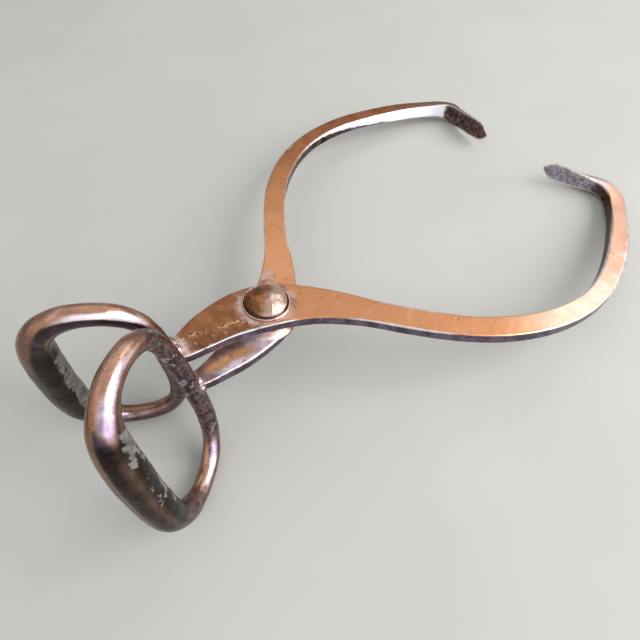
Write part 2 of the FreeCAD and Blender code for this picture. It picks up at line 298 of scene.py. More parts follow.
def arm_rows(side):
    """Stations of one arm. The lower one lies beneath the upper and climbs towards the jaw."""
    rows = np.array(STATIONS)
    if side < 0:
        rows[:len(LOWER_SHANK), :4] = LOWER_SHANK
        rows[BLADE_FIRST:BLADE_FIRST + len(LOWER_BLADE), [2, 3, 5]] = LOWER_BLADE
        u = np.clip((PATH - PATH[RISE_FROM]) / (PATH[BEND] - PATH[RISE_FROM]), 0, 1)
        lift = -(BOSS_T * 2 - BAR_T) + JAW_RISE * (u * u * (1.5 - 0.5 * u))
        past_bend = np.maximum(np.arange(len(PATH)) - BEND, 0)
        lift += TIP_RISE * past_bend / (len(PATH) - 1 - BEND)
        rows[:, 4:] += lift[:, None]
    rows[:, [1, 3]] *= side
    return rows


def section_outline(w, h, corners, crown):
    """Closed outline (across, up) from the inner top corner.
    corners: (rx, ry) of the inner top, outer top, outer bottom and inner bottom."""
    points = []
    (itx, ity), (otx, oty), (obx, oby), (ibx, iby) = corners

    def line(p0, p1, steps, bulge):
        for k in range(1, steps):
            t = k / steps
            points.append((p0[0] + (p1[0] - p0[0]) * t,
                           p0[1] + (p1[1] - p0[1]) * t + bulge * 4 * t * (1 - t)))

    def arc(cx, cy, rx, ry, start, end):
        for k in range(CORNER_STEPS + 1):
            a = start + (end - start) * k / CORNER_STEPS
            points.append((cx + rx * math.cos(a), cy + ry * math.sin(a)))

    quarter = math.pi / 2
    arc(itx, h - ity, itx, ity, math.pi, quarter)
    line((itx, h), (w - otx, h), FLAT_STEPS, crown)
    arc(w - otx, h - oty, otx, oty, quarter, 0)
    line((w, h - oty), (w, oby), SIDE_STEPS, 0)
    arc(w - obx, oby, obx, oby, 0, -quarter)
    line((w - obx, 0), (ibx, 0), FLAT_STEPS, -crown)
    arc(ibx, iby, ibx, iby, -quarter, -math.pi)
    line((0, iby), (0, h - ity), SIDE_STEPS, 0)
    return points


def jaw_bevel(run, side):
    """How far the top inner corner is set back, mm, so the jaw's inner face leans outward."""
    if side < 0:
        return np.interp(run, PATH[[20, 22, 24, 25, 26, 28, 29, 30, 31]],
                         [0.0, 0.4, 0.9, 1.6, 2.3, 2.5, 1.6, 0.7, 0.0])
    return 0.9 * smooth(PATH[18], PATH[23], run) * smooth(PATH[32], PATH[29], run)


def arm_bar(name, side, rows):
    """The bar swept along its stations, with closed ends."""
    t = np.linspace(0, 1, SECTIONS)
    run = PATH[-1] * (t * 1.28 - 0.28 * t * t * t * t)   # denser towards the blade
    run = run / run[-1] * PATH[-1]
    verts = []
    for s, (ix, iy, ox, oy, zt, zb) in zip(run, rows(run)):
        w = math.hypot(ox - ix, oy - iy)
        h = zt - zb
        wobble = 0.5 + 0.5 * math.sin(s * 0.11 + side) * math.sin(s * 0.037 + 2)
        top_r = min(0.95 + 0.35 * wobble, 0.34 * w, 0.34 * h)
        bottom_r = min(0.85 + 0.25 * wobble, 0.34 * w, 0.34 * h)
        # towards the tip the bar becomes a leaf: flat inside, rounded to a thin edge outside
        leaf = min(1.0, max(0.0, (s - PATH[30]) / (PATH[34] - PATH[30])))
        outer = (top_r + (0.78 * w - top_r) * leaf, top_r + (0.42 * h - top_r) * leaf)
        inner = top_r + (min(0.35, 0.2 * w) - top_r) * leaf
        corners = ((inner, inner), outer, outer, (min(bottom_r, 0.3 * w), bottom_r))
        outline = section_outline(w, h, corners, CROWN if w > 6 else 0.0)
        dx, dy = (ox - ix) / w, (oy - iy) / w
        bevel = min(jaw_bevel(s, side), 0.35 * w)
        for u, v in outline:
            b = bevel * min(1.0, max(0.0, v / h))
            u = b + u * (w - b) / w
            verts.append((ix + dx * u, iy + dy * u, zb + v))
    size = len(outline)
    faces = tube_faces(SECTIONS, size)
    for i in (0, SECTIONS - 1):
        centre = len(verts)
        verts.append(tuple(np.mean(np.array(verts[i * size:(i + 1) * size]), axis=0)))
        for k in range(size):
            faces.append((i * size + k, i * size + (k + 1) % size, centre))
    return new_object(name, verts, faces)


def add_boss(arm, side):
    """Tapered round boss on the meeting face, and the rivet's bore."""
    back = side * (BOSS_T - BAR_T + 1.0)
    face = side * FACE_GAP
    boss = lathe("tmp_boss", [
        (0, back), (BOSS_R_ROOT + 0.5, back), (BOSS_R_ROOT + 0.3, back - side * 1.05),
        (BOSS_R_ROOT - 0.3, back - side * 1.35), (BOSS_R_TOP - 0.2, face + side * 1.6),
        (BOSS_R_TOP - 1.1, face + side * 0.6), (BOSS_R_TOP - 1.9, face), (0, face)], 128)
    boolean(arm, boss, "UNION")
    bore = lathe("tmp_bore", [(0, -40), (BORE_R, -40), (BORE_R, 40), (0, 40)], 64)
    boolean(arm, bore, "DIFFERENCE")


def arm_places(arm, side, rows):
    """Where each vertex sits on the arm: run along it, across from the inner edge, rise."""
    c, nrm = surface(arm)
    dense = rows(np.linspace(0, PATH[-1], 500))
    mid = 0.5 * (dense[:, 0:2] + dense[:, 2:4])
    nearest = np.concatenate([                   # in chunks, to save memory
        ((c[a:a + 4000, None, :2] - mid[None]) ** 2).sum(2).argmin(1)
        for a in range(0, len(c), 4000)])
    q = dense[nearest]
    width = np.hypot(q[:, 2] - q[:, 0], q[:, 3] - q[:, 1])
    inward = (q[:, 0:2] - q[:, 2:4]) / width[:, None]
    run = nearest / 499 * PATH[-1]
    across = width - ((c[:, :2] - q[:, 2:4]) * inward).sum(1)
    rise, height = c[:, 2] - q[:, 5], q[:, 4] - q[:, 5]
    bevel = np.minimum(jaw_bevel(run, side), 0.35 * width) * np.clip(rise / height, 0, 1)
    across = (across - bevel) * width / (width - bevel)
    facing_in = (nrm[:, :2] * inward).sum(1)
    edge_gap = np.hypot(np.minimum(np.abs(across), np.abs(width - across)),
                        np.minimum(np.abs(rise), np.abs(height - rise)))
    return SimpleNamespace(
        c=c, nrm=nrm, run=run, across=across, width=width, rise=rise, height=height,
        facing_in=facing_in, side_in=smooth(0.55, 0.80, facing_in),
        top=smooth(0.6, 0.9, nrm[:, 2]), corner=np.clip(1 - edge_gap / 1.5, 0, 1),
        radial=np.hypot(c[:, 0], c[:, 1]), tone=np.zeros(len(c)))


def forge_marks(at, side, seed):
    """Marks both arms share: soft waves, small pits, and nicks in the long edges."""
    c = at.c
    at.ragged = 2.6 * fbm(c, 3.2, seed + 2)
    start = PATH[31] + 1.5 if side > 0 else PATH[29] + 2.0
    at.past_start = smooth(-0.5, 0.5, at.run + at.ragged - start)
    at.blade = at.past_start * smooth(0.2, 0.6, np.abs(at.facing_in))
    waves = 0.085 * fbm(c, 21.0, seed, octaves=2) * (1 - smooth(PATH[30], PATH[33], at.run))
    at.depth = waves + 0.020 * fbm(c, 5.0, seed + 5, octaves=2)
    at.pits = smooth(0.12, 0.42, fbm(c, 1.5, seed + 9)) * at.blade
    at.depth -= (0.30 if side < 0 else 0.13) * at.pits
    at.tiny = (smooth(0.72, 0.86, fbm(c, 1.3, seed + 21, octaves=1))
               * smooth(0.0, 0.4, fbm(c, 19.0, seed + 22, octaves=2)) * at.top)
    at.depth -= 0.10 * at.tiny
    at.nick = smooth(0.55, 0.80, fbm(c, 2.4, seed + 31, octaves=1)) * smooth(0.30, 0.9, at.corner)
    at.depth -= 0.30 * at.nick


# Line of the hammered band on the upper shank: x, y
BAND_X = [-60.0, -48.8, -38.9, -25.6, -14.4, -8.0]
BAND_Y = [12.5, 9.6, 6.4, 2.2, -4.4, -9.5]
# Single pits in the upper arm's top: x, y, radius, depth
TOP_PITS = [
    (-18.5, -4.4, 1.0, 0.28), (-15.2, -9.4, 0.9, 0.26), (-29.0, 1.6, 0.8, 0.22),
    (-21.0, -7.6, 0.8, 0.22), (19.5, -6.6, 0.8, 0.34), (21.6, -3.0, 0.7, 0.30),
    (26.7, -16.5, 0.7, 0.26), (34.6, -22.6, 0.8, 0.26),
]


def upper_marks(at):
    """Dress the upper arm's shank and jaw; returns its colour masks."""
    c, run, top = at.c, at.run, at.top
    x, y = c[:, 0], c[:, 1]
    off_boss = at.radial > 14.2
    # a rough hammered band runs down the shank, and the face on its -Y side is set back
    below = np.interp(x, BAND_X, BAND_Y) - y
    on = smooth(-3, -9, x) * top
    at.depth -= 0.55 * smooth(0.0, 9.0, below) * on * off_boss
    tear = smooth(-0.30, 0.25, fbm(c, 4.2, 92))
    band = bell((below - 0.4 + 1.0 * fbm(c, 5.0, 90)) / (1.5 + 0.9 * fbm(c, 6.0, 91, octaves=2)))
    band = band * (0.20 + 0.80 * tear)
    rough = np.clip(band * (0.95 + 0.45 * smooth(-34, -24, x))
                    + 0.95 * smooth(-24, -14, x) * smooth(-1, 2.5, below) * tear, 0, 1) * on
    at.depth -= rough * 0.26 * smooth(-0.10, 0.45, fbm(c, 2.2, 93)) * off_boss
    at.depth += 0.14 * rough * smooth(0.15, 0.5, fbm(c, 3.4, 88, octaves=2)) * off_boss
    for px, py, radius, depth in TOP_PITS:
        pit = np.exp(-(((x - px) ** 2 + (y - py) ** 2) / (radius * radius)))
        at.depth -= depth * pit * top
        at.tone = np.maximum(at.tone, pit * top)
    halo = smooth(18.4, 15.2, at.radial + 1.4 * fbm(c, 4.0, 95, octaves=2))
    halo = halo * smooth(13.0, 14.2, at.radial) * top
    # painted shade on the inner side, from the middle of the arm to the bend
    burn = at.side_in * smooth(PATH[21], PATH[25], run)
    burn = burn * smooth(PATH[31] + 3, PATH[29], run + at.ragged * 0.4)
    early = at.side_in * smooth(PATH[16], PATH[22], run) * (run < PATH[25] + 3)
    burn = np.maximum(burn, 0.6 * early)
    # bright dressed end by the weld, and a bright patch near the jaw
    weld_end = smooth(-47.0, -51.5, x + 2.4 * fbm(c, 2.6, 94)) * top
    at.depth += 0.35 * weld_end * fbm(c, 2.2, 96, octaves=2)
    patch = bell((run - PATH[24] - 6.0 + 3.0 * fbm(c, 6.0, 84, octaves=2)) / 4.2)
    patch = 0.9 * patch * smooth(-0.15, 0.25, fbm(c, 2.0, 83)) * top
    # the strip between the hammered band and the -Y edge is left brown
    brown = smooth(1.5, 4.5, below + 1.0 * fbm(c, 4.0, 87, octaves=2))
    brown = brown * smooth(-9, -16, x) * smooth(-52, -47, x) * top
    seam = bell((at.width - at.across - 3.4 + 0.7 * fbm(c, 4.0, 85, octaves=2)) / 0.8)
    seam = seam * smooth(-51, -48, x) * smooth(-33, -38, x) * top
    at.depth -= 0.22 * seam
    at.tone = np.maximum(at.tone, 0.9 * seam)
    spots = smooth(0.50, 0.72, fbm(c, 2.1, 86, octaves=2)) * smooth(-8, -14, x) * top
    return dict(shine=np.zeros(len(c)), burn=burn, rough=rough, halo=halo,
                zone_a=np.maximum(weld_end, patch), zone_b=brown,
                zone_c=spots * smooth(-2.5, 1.0, below))


def lower_marks(at):
    """Dress the lower arm's shank and jaw; returns its colour masks."""
    c, run, top = at.c, at.run, at.top
    x, y = c[:, 0], c[:, 1]
    # scale left grey-pink where the arm comes out from under the upper one
    pink = smooth(9.5, 5.0, np.hypot(x - 15.0, y - 24.0) + 3.2 * fbm(c, 5.0, 97))
    second = smooth(6.0, 3.0, np.hypot(x - 22.5, y - 25.5) + 2.5 * fbm(c, 4.0, 98))
    halo = np.maximum(pink, second * 0.8) * top
    lump = 0.45 * np.exp(-((x - 27.6) ** 2 + (y - 15.2) ** 2) / 2.0) * top
    at.depth += 0.10 * halo + lump
    # painted highlight on the inner side above a line that falls towards the jaw, painted shade
    # beneath it
    lowest = np.interp(run, PATH[20:27], [7.8, 6.9, 5.4, 3.9, 2.6, 1.6, -0.5])
    body = at.side_in * (1 - at.past_start)
    shine = body * smooth(-0.45, 0.45, at.rise - lowest + 1.0 * fbm(c, 2.4, 103))
    shine = shine * smooth(PATH[20], PATH[21], run)
    burn = body * (1 - shine) * smooth(PATH[10], PATH[13], run)
    grey = smooth(PATH[22], PATH[23], run + 1.5 * at.ragged)   # the painted shade gives way where the strip turns grey, pitted
    burn = burn * (1 - 0.75 * grey)
    pitted = body * grey * (1 - shine)
    at.depth -= 0.16 * pitted * smooth(0.05, 0.4, fbm(c, 1.4, 105, octaves=2))
    scuff = bell((run - PATH[20] + 1.0) / 5.5)
    from_outer = at.width - at.across + 0.9 * fbm(c, 2.2, 107, octaves=2)
    scuff = scuff * smooth(3.6, 1.2, from_outer) * top
    halo = np.maximum(halo, scuff)
    at.depth -= 0.18 * scuff
    # the shank's top is a patchwork: lilac by the pivot, ochre in the middle, dark by the weld
    broad = fbm(c, 7.0, 99)
    small = fbm(c, 3.0, 101)
    offset = y - np.interp(x, [-57, -30, -10, 4], [-7.5, -8.0, -12.5, -15.0])
    on = smooth(8, 0, x) * top
    margin = 0.85 * smooth(-3.2, -5.6, offset + 1.3 * small) * smooth(-50, -40, x)
    lilac = np.maximum(smooth(-24, -13, x + 6 * broad), margin) * on
    ochre = bell((offset + 0.2 + 1.5 * broad) / 2.7) * smooth(-52, -44, x) * (1 - lilac) * on
    dark = smooth(-41, -47, x + 4 * broad + 0.6 * offset) * (1 - ochre)
    edge = 0.9 * smooth(1.6, 4.2, offset + 1.5 * small) * smooth(-47, -38, x)
    return dict(shine=shine, burn=burn, rough=0.35 * on * smooth(-0.1, 0.4, small), halo=halo,
                zone_a=lilac, zone_b=ochre, zone_c=np.clip(dark + edge, 0, 1) * on)


def arm_rim(at, side):
    """Where the long top edges are worn bright."""
    run = at.run
    rim = smooth(1.5, 0.5, at.across) * smooth(1.5, 0.5, at.height - at.rise)
    rim = rim * smooth(PATH[10], PATH[13], run)
    if side < 0:
        rim = np.maximum(rim * smooth(PATH[27], PATH[24], run), 0.5 * rim)
    else:
        from_outer = at.width - at.across + 0.9 * fbm(at.c, 4.0, 109, octaves=2)
        worn = smooth(3.2, 1.0, from_outer) * smooth(1.2, 0.3, at.height - at.rise)
        worn = worn * smooth(PATH[21], PATH[23], run) * smooth(PATH[31], PATH[29], run)
        rim = np.maximum(rim, 0.85 * worn)
    return rim * (at.radial > 17)


def flatten_grip(c, side):
    """Push the blade back to the flat gripping plane."""
    nx, ny = GRIP_NORMAL
    past = (c[:, 0] - GRIP_A[0]) * nx + (c[:, 1] * side - GRIP_A[1]) * ny
    y = c[:, 1] * side
    on_blade = (y > GRIP_FROM_Y) & (y < -20) & (c[:, 0] > 200)
    push = np.where(on_blade & (past > 0), past, 0.0)
    c[:, 0] -= push * nx
    c[:, 1] -= push * ny * side


def build_arm(name, side):
    rows = cubic(PATH, arm_rows(side))
    arm = arm_bar(name, side, rows)
    add_boss(arm, side)
    at = arm_places(arm, side, rows)
    forge_marks(at, side, seed=11 if side > 0 else 47)
    marks = upper_marks(at) if side > 0 else lower_marks(at)
    seat = 1 - smooth(14.2, 16.0, at.radial)     # stays true round the pivot
    at.depth *= 1 - 0.92 * seat
    c = at.c + at.nrm * at.depth[:, None]
    flatten_grip(c, side)
    set_coords(arm, c)
    nz = at.nrm[:, 2]
    set_masks(
        arm, edge=at.corner, up=smooth(0.42, 0.80, nz), down=smooth(0.35, 0.85, -nz),
        blade=at.blade, pit=np.clip(at.pits + at.tiny * 0.8 + at.tone * 0.7, 0, 1),
        along=at.run / PATH[-1], nick=at.nick, rim=arm_rim(at, side),
        shank=smooth(6, -16, at.c[:, 0]), **marks, outside=smooth(0.55, 0.80, -at.facing_in))
    return arm


# ------------------------------------------------------------------ ring handles
RING_SECTIONS, RING_SIDES = 520, 80


def ring_axes(side):
    """Root point and unit axes of a ring: out from the root, up in its plane, across it."""
    k = 0 if side > 0 else 1
    flare, lean = math.radians(RING_FLARE[k]), math.radians(RING_LEAN[k])
    out = np.array([-math.cos(flare), math.sin(flare), 0.0])
    level = np.array([-out[1], out[0], 0.0])
    up = level * math.cos(lean) + np.array([0, 0, 1.0]) * math.sin(lean)
    mirror = np.array([1, side, 1])
    out, up = out * mirror, up * mirror
    return np.array(RING_ROOT[k]), out, up, np.cross(out, up)


def ring_tube(side):
    """Plain ring surface, with the ring coordinates of each vertex."""
    root, e_out, e_up, e_across = ring_axes(side)
    count, pad = len(RING), 8
    index = np.arange(-pad, count + pad + 1)     # padded so the spline closes on itself
    centreline = cubic(index, np.array(RING)[index % count])
    turn = np.linspace(0, count, RING_SECTIONS, endpoint=False)
    q = centreline(turn)
    heading = (centreline(turn + 0.02) - centreline(turn - 0.02))[:, :2]
    heading /= np.linalg.norm(heading, axis=1)[:, None]
    # in-plane normal that points away from the ring's opening
    away = np.stack([heading[:, 1], -heading[:, 0]], 1)
    away *= np.median(np.sign(((q[:, :2] - q[:, :2].mean(0)) * away).sum(1)))
    angle = np.linspace(0, 2 * math.pi, RING_SIDES, endpoint=False)
    ca, sa = (np.tile(f(angle), (RING_SECTIONS, 1)) for f in (np.cos, np.sin))
    grip = smooth(6.4, 8.8, q[:, 2])
    inner = np.clip(-ca, 0, 1)
    # the grip's inside is a little flat, with a soft shoulder each side
    radius = q[:, 2:3] * (1 - 0.13 * grip[:, None] * smooth(0.62, 0.92, inner))
    flat = q[:, None, :2] + away[:, None, :] * (radius * ca)[..., None]
    pos = root + flat[..., :1] * e_out + flat[..., 1:2] * e_up + (radius * sa)[..., None] * e_across
    nrm = (away[:, None, :1] * ca[..., None] * e_out + away[:, None, 1:2] * ca[..., None] * e_up
           + sa[..., None] * e_across)
    return SimpleNamespace(
        pos=pos.reshape(-1, 3), nrm=nrm.reshape(-1, 3), inner=inner.reshape(-1),
        away=ca.reshape(-1), across=sa.reshape(-1), grip=grip.repeat(RING_SIDES),
        out=q[:, 0].repeat(RING_SIDES), up=q[:, 1].repeat(RING_SIDES),
        turn=turn.repeat(RING_SIDES))


def ring_coat(at, side, seed):
    """Flaking coat left on the inside of the grip."""
    pos, up = at.pos, at.up
    rag = fbm(pos * np.array([1, 1, 0.7]), 3.4, seed + 15, octaves=4)
    if side > 0:
        reach = smooth(34.0, 22.0, up) * smooth(-58, -50, up)
        band = smooth(0.70, 0.74, at.inner + 0.22 * rag)
        holes = fbm(pos * np.array([1, 1, 0.8]), 4.0, seed + 19, octaves=4) + 0.30
    else:
        reach = smooth(46.0, 38.0, up) * smooth(-26, -14, up)
        teeth = np.mod(-up / 7.5 + 0.35 * fbm(pos, 9.0, seed + 17, octaves=2), 1.0)
        band = smooth(0.34, 0.28, at.away + 0.28 * rag + 0.26 * (teeth - 0.5))
        band = band * smooth(0.1, -0.1, at.across)
        holes = (fbm(pos * np.array([1, 1, 0.7]), 5.0, seed + 19, octaves=4)
                 + np.interp(up, [-20, -6, 4, 12, 46], [-0.1, 0.16, -0.12, 0.16, 0.24]))
    coat = band * smooth(0.15, 0.5, at.grip) * reach * smooth(-0.04, 0.04, holes)
    return smooth(0.40, 0.60, coat)


def ring_painted_light(at, pos, side, seed):
    """Painted shade and painted reflections: dark, brown, cool, navy and white bands, placed by
    which way each spot mirrors the main viewpoint.
    """
    nz = at.nrm[:, 2]
    view = pos - EYE
    view /= np.linalg.norm(view, axis=1)[:, None]
    facing = -(view * at.nrm).sum(1)
    mirrored = view + 2 * facing[:, None] * at.nrm
    el = np.degrees(np.arcsin(np.clip(mirrored[:, 2], -1, 1))) + 5 * fbm(pos, 7.0, seed + 50)
    az = np.degrees(np.arctan2(mirrored[:, 1], mirrored[:, 0]))
    near = smooth(-0.15, 0.45, np.cos(np.radians(az + 105)))
    edge = 3 - 19 * smooth(-141, -66, az)
    # painted shade, brown, where the mirrored view falls far and low
    far_low = smooth(4, -18, el) * (1 - near)
    unseen = smooth(0.12, -0.05, facing)
    # painted shade where the mirrored view falls low on the near side, and on faces turned from the
    # eye
    painted_dark = smooth(edge + 9, edge - 13, el) * near
    painted_dark = painted_dark * (1 - unseen) + smooth(0.2, -0.5, nz) * unseen
    # painted shade on the grip's inside, lower down the loop and at its bottom end
    inside = smooth(0.45, 0.15, at.away)
    inside = inside * smooth(0.2, 0.95, at.grip + 0.10 * fbm(pos, 5.0, seed + 57, octaves=2))
    deep = smooth(40, 12, at.up) * far_low * (0.9 if side > 0 else 0.55)
    deep = deep * smooth(0.1, 0.5, at.grip)
    end = smooth(8.3, 9.0, at.turn + 0.25 * fbm(pos, 3.0, seed + 55, octaves=2))
    end = end * smooth(14.5, 13.0, at.turn) * 0.92
    painted_dark = np.clip(np.maximum.reduce([
        painted_dark * (0.85 + 0.15 * smooth(0.0, 0.4, at.grip)), inside, deep,
        end * (0.7 + 0.3 * smooth(0.2, -0.4, nz))]), 0, 1)
    # painted reflection of the low cool window
    cool = smooth(0.0, 0.75, np.cos(np.radians(az + 88))) * smooth(70, 40, el)
    cool = cool * smooth(edge - 6, edge + 8, el) * (1 - unseen)
    # painted dark reflection, a navy patch
    navy = smooth(-0.2, 0.5, np.cos(np.radians(az + 118))) * smooth(-26, -8, el)
    navy = navy * smooth(14, 4, el) * (1 - unseen)
    # painted shade on the upper ring's bottom strand; painted highlight (sheen) and painted shade
    # (inky) on its top strand
    bottom = 0.75 * smooth(-48, -57, at.up) * smooth(46, 38, at.out) if side > 0 else 0.0
    top_strand = smooth(42, 50, at.up) if side > 0 else 0 * at.up
    return dict(low=painted_dark, brown=np.maximum(far_low * (1 - unseen), bottom), navy=navy,
                cool=cool, sheen=cool * top_strand, inky=painted_dark * top_strand)


def build_ring(name, side):
    at = ring_tube(side)
    pos, grip, up = at.pos, at.grip, at.up
    seed = 71 if side > 0 else 131
    depth = 0.20 * fbm(pos, 15.0, seed, octaves=2) + 0.07 * fbm(pos, 4.2, seed + 3, octaves=2)
    pits = smooth(0.28, 0.62, fbm(pos, 1.35, seed + 7, octaves=2))
    # scaly stretch beside the weld
    scaly = smooth(15, 9, at.out) * smooth(46, 34, np.abs(up + 3))
    if side < 0:
        scaly = np.maximum(scaly, smooth(25, 15, at.out) * smooth(56, 50, up) * smooth(0, 6, up))
    patchy = smooth(-0.25, 0.35, fbm(pos, 8.0, seed + 8, octaves=2))
    depth -= 0.07 * pits * np.clip(scaly * 1.2 + 0.35 * (1 - grip) * patchy, 0, 1)
    lumps = fbm(pos * np.array([1, 1, 0.55]), 3.6, seed + 40, octaves=2)
    depth += 0.13 * scaly * smooth(0.0, 0.6, lumps)
    depth -= 0.07 * pits * grip * smooth(0.1, 0.6, fbm(pos, 14.0, seed + 12, octaves=1))
    coat = ring_coat(at, side, seed)
    depth += 0.17 * coat
    # closing scarf at the bottom of the loop: the thick end laps over the thin one
    lap_line = at.turn + 0.30 * at.across + 0.16 * fbm(pos, 2.6, seed + 23)
    lap = smooth(9.15, 9.40, lap_line) * smooth(12.8, 10.2, at.turn)
    depth += 0.42 * lap * smooth(-0.9, 0.2, -at.away + 0.3)
    crumbs = smooth(0.30, 0.60, fbm(pos, 2.4, seed + 25, octaves=2)) * bell((at.turn - 9.7) / 0.7)
    lip = np.maximum(bell((lap_line - 9.30) / 0.16), 0.9 * crumbs)
    pos = pos + at.nrm * depth[:, None]
    ob = new_object(name, pos * MM, tube_faces(RING_SECTIONS, RING_SIDES, closed=True))
    # painted highlight line along the shoulder of the lower ring's grip
    ridge = 0 * at.away
    if side < 0:
        shoulder = at.away - 0.52 - 0.05 * fbm(pos, 6.0, seed + 60, octaves=2)
        ridge = bell(shoulder / 0.21) * smooth(40, 24, up) * (at.across < 0)
    set_masks(ob, coat=coat, grip=grip, pit=pits, inner=at.inner, lap=lap,
              **ring_painted_light(at, pos, side, seed), nz=(at.nrm[:, 2] + 1) / 2, rootz=scaly,
              ridge=ridge * smooth(0.3, 0.8, grip), lip=lip)
    return ob


# ------------------------------------------------------------------ welds
# Lumps merged into each bead: centre x, y, z, radii x, y, z
UPPER_WELD = [
    (-54.6, 13.0, 6.8, 3.5, 2.9, 3.6), (-56.4, 1.6, 6.4, 3.6, 2.9, 3.4),
    (-55.4, 9.4, 10.1, 3.7, 3.2, 2.3), (-55.4, 4.6, 9.9, 3.5, 2.9, 2.3),
    (-55.8, 7.4, 3.6, 3.4, 4.8, 1.9), (-56.8, 7.6, 6.6, 3.8, 5.4, 3.8),
]
LOWER_WELD = [
    (-54.6, -13.4, -6.6, 3.0, 2.4, 3.2), (-55.4, -3.6, -6.8, 3.2, 2.4, 3.2),
    (-54.9, -10.4, -3.2, 3.5, 2.9, 2.3), (-55.3, -5.6, -3.4, 3.4, 2.7, 2.3),
    (-55.6, -8.4, -9.8, 3.2, 4.2, 1.8), (-56.6, -8.6, -6.8, 3.8, 5.0, 3.7),
]


def build_weld(name, lumps, seed):
    bm = bmesh.new()
    for x, y, z, rx, ry, rz in lumps:
        place = Matrix.Translation((x, y, z)) @ Matrix.Diagonal((rx, ry, rz, 1))
        bmesh.ops.create_icosphere(bm, subdivisions=4, radius=1.0, matrix=place)
    mesh = bpy.data.meshes.new(name)
    bm.to_mesh(mesh)
    bm.free()
    ob = bpy.data.objects.new(name, mesh)
    bpy.context.scene.collection.objects.link(ob)
    remesh = ob.modifiers.new("r", "REMESH")
    remesh.mode = "VOXEL"
    remesh.voxel_size = 0.30
    soften = ob.modifiers.new("s", "SMOOTH")
    soften.factor = 0.5
    soften.iterations = 8
    apply_mods(ob)
    c, nrm = surface(ob)
    depth = 0.30 * fbm(c, 3.0, seed, octaves=2) + 0.16 * fbm(c, 1.2, seed + 4, octaves=2)
    pits = smooth(0.3, 0.6, fbm(c, 1.0, seed + 8, octaves=2))
    set_coords(ob, c + nrm * (depth - 0.12 * pits)[:, None])
    set_masks(ob, pit=pits)
    return ob


# ------------------------------------------------------------------ rivet and washers
HEAD_Z = BOSS_T + 1.3                            # underside of the rivet's head
TAIL_Z = -(BOSS_T + 0.05 + 1.5)                  # underside of the tail washer
HEAD_R, HEAD_H, TAIL_R = 12.25, 5.55, 9.6
# Centres of the hammered facets on the dome: x, y
FACETS = np.array([(5.5, -4.0), (-4.5, -5.5), (-7.0, 3.0), (1.5, 8.0), (8.5, 3.5), (1.0, -9.5),
                   (-1.5, 0.5), (4.5, 2.5)])
# Washer outlines: radius, height above the underside
HEAD_WASHER = [
    (4.8, 0), (13.35, 0), (13.62, 0.18), (13.70, 0.62), (13.58, 1.02), (13.30, 1.26),
    (12.95, 1.24), (12.72, 1.05), (12.55, 0.60), (12.40, 0.22), (12.15, 0.20), (11.95, 0.5),
    (11.5, 1.05), (11.0, 1.27), (4.8, 1.27),
]
TAIL_WASHER = [
    (4.8, 1.5), (4.8, 0), (12.1, 0), (12.42, 0.2), (12.5, 0.6), (12.42, 1.2), (12.2, 1.48),
    (12.0, 1.5),
]


def rivet_profile():
    """Flattened tail, shank, then the domed head."""
    profile = [(0, TAIL_Z - 3.6)]
    for k in range(1, 15):
        a = k / 14 * math.pi / 2
        profile.append((TAIL_R * math.sin(a) ** 0.92, TAIL_Z - 0.7 - 2.9 * math.cos(a)))
    profile += [(TAIL_R, TAIL_Z - 0.3), (9.35, TAIL_Z), (4.75, TAIL_Z), (4.75, HEAD_Z - 0.02),
                (11.2, HEAD_Z - 0.02), (11.6, HEAD_Z + 0.02), (11.85, HEAD_Z + 0.20)]
    for k in range(35):
        a = (1 - k / 34) * math.pi / 2
        r = HEAD_R * math.sin(a) ** 0.95
        cone = 1 - (r / HEAD_R) ** 1.6
        profile.append((r, HEAD_Z + 0.55 + HEAD_H * (0.62 * math.cos(a) + 0.38 * cone)))
    return profile


def build_rivet():
    rivet = lathe("pivot_rivet_dome", rivet_profile(), 144)
    c, nrm = surface(rivet)
    x, y, z = c.T
    free = (z > HEAD_Z + 0.1) | (z < TAIL_Z - 0.2)
    reach = np.sort(np.hypot(x[:, None] - FACETS[None, :, 0], y[:, None] - FACETS[None, :, 1]), 1)
    ridge = smooth(1.8, 0.0, reach[:, 1] - reach[:, 0])
    depth = -0.10 * (1 - ridge) - 0.12 + 0.07 * fbm(c, 3.0, 8, octaves=2)
    depth -= 0.34 * np.abs(fbm(c, 6.5, 3, octaves=2))
    depth -= 0.30 * np.exp(-(((x + 4.6) / 2.4) ** 2 + ((y + 1.2) / 0.8) ** 2))   # one dent
    set_coords(rivet, c + nrm * (depth * free)[:, None])
    # painted shade: a brown -X, +Y side of the dome under the warm mask, and a dark ring at its
    # foot
    foot = smooth(11.4, 11.95, np.hypot(x, y)) * (z > HEAD_Z - 0.1)
    set_masks(rivet, warm=smooth(-4.5, 3.0, -0.62 * x + 0.78 * y + 2.5 * fbm(c, 5.0, 61)),
              groove=foot * smooth(HEAD_Z + 1.3, HEAD_Z + 0.6, z),
              pit=smooth(0.45, 0.7, fbm(c, 1.6, 33, octaves=2)))
    return rivet


def build_washer(name, outline, base, seg, worn_from, wear, seed, above=-math.inf, groove=None):
    """Washer worn uneven beyond a radius and above a height; the groove span of radii gets painted
    shade.
    """
    ob = lathe(name, [(r, base + z) for r, z in outline], seg)
    c, nrm = surface(ob)
    radius = np.hypot(c[:, 0], c[:, 1])
    worn = (radius > worn_from) & (c[:, 2] > above)
    set_coords(ob, c + nrm * (wear * fbm(c, 3.0, seed, octaves=2) * worn)[:, None])
    set_masks(ob, pit=smooth(0.3, 0.6, fbm(c, 1.3, seed + 26, octaves=2)))
    if groove:
        set_masks(ob, groove=smooth(*groove, radius))
    return ob


# ------------------------------------------------------------------ shader helpers
def linear(colour):
    """sRGB 0-255 tuple to linear RGBA; sockets pass through."""
    if isinstance(colour, bpy.types.NodeSocket):
        return colour
    parts = (v / 255.0 for v in colour)
    return (*(v / 12.92 if v <= 0.04045 else ((v + 0.055) / 1.055) ** 2.4 for v in parts), 1.0)


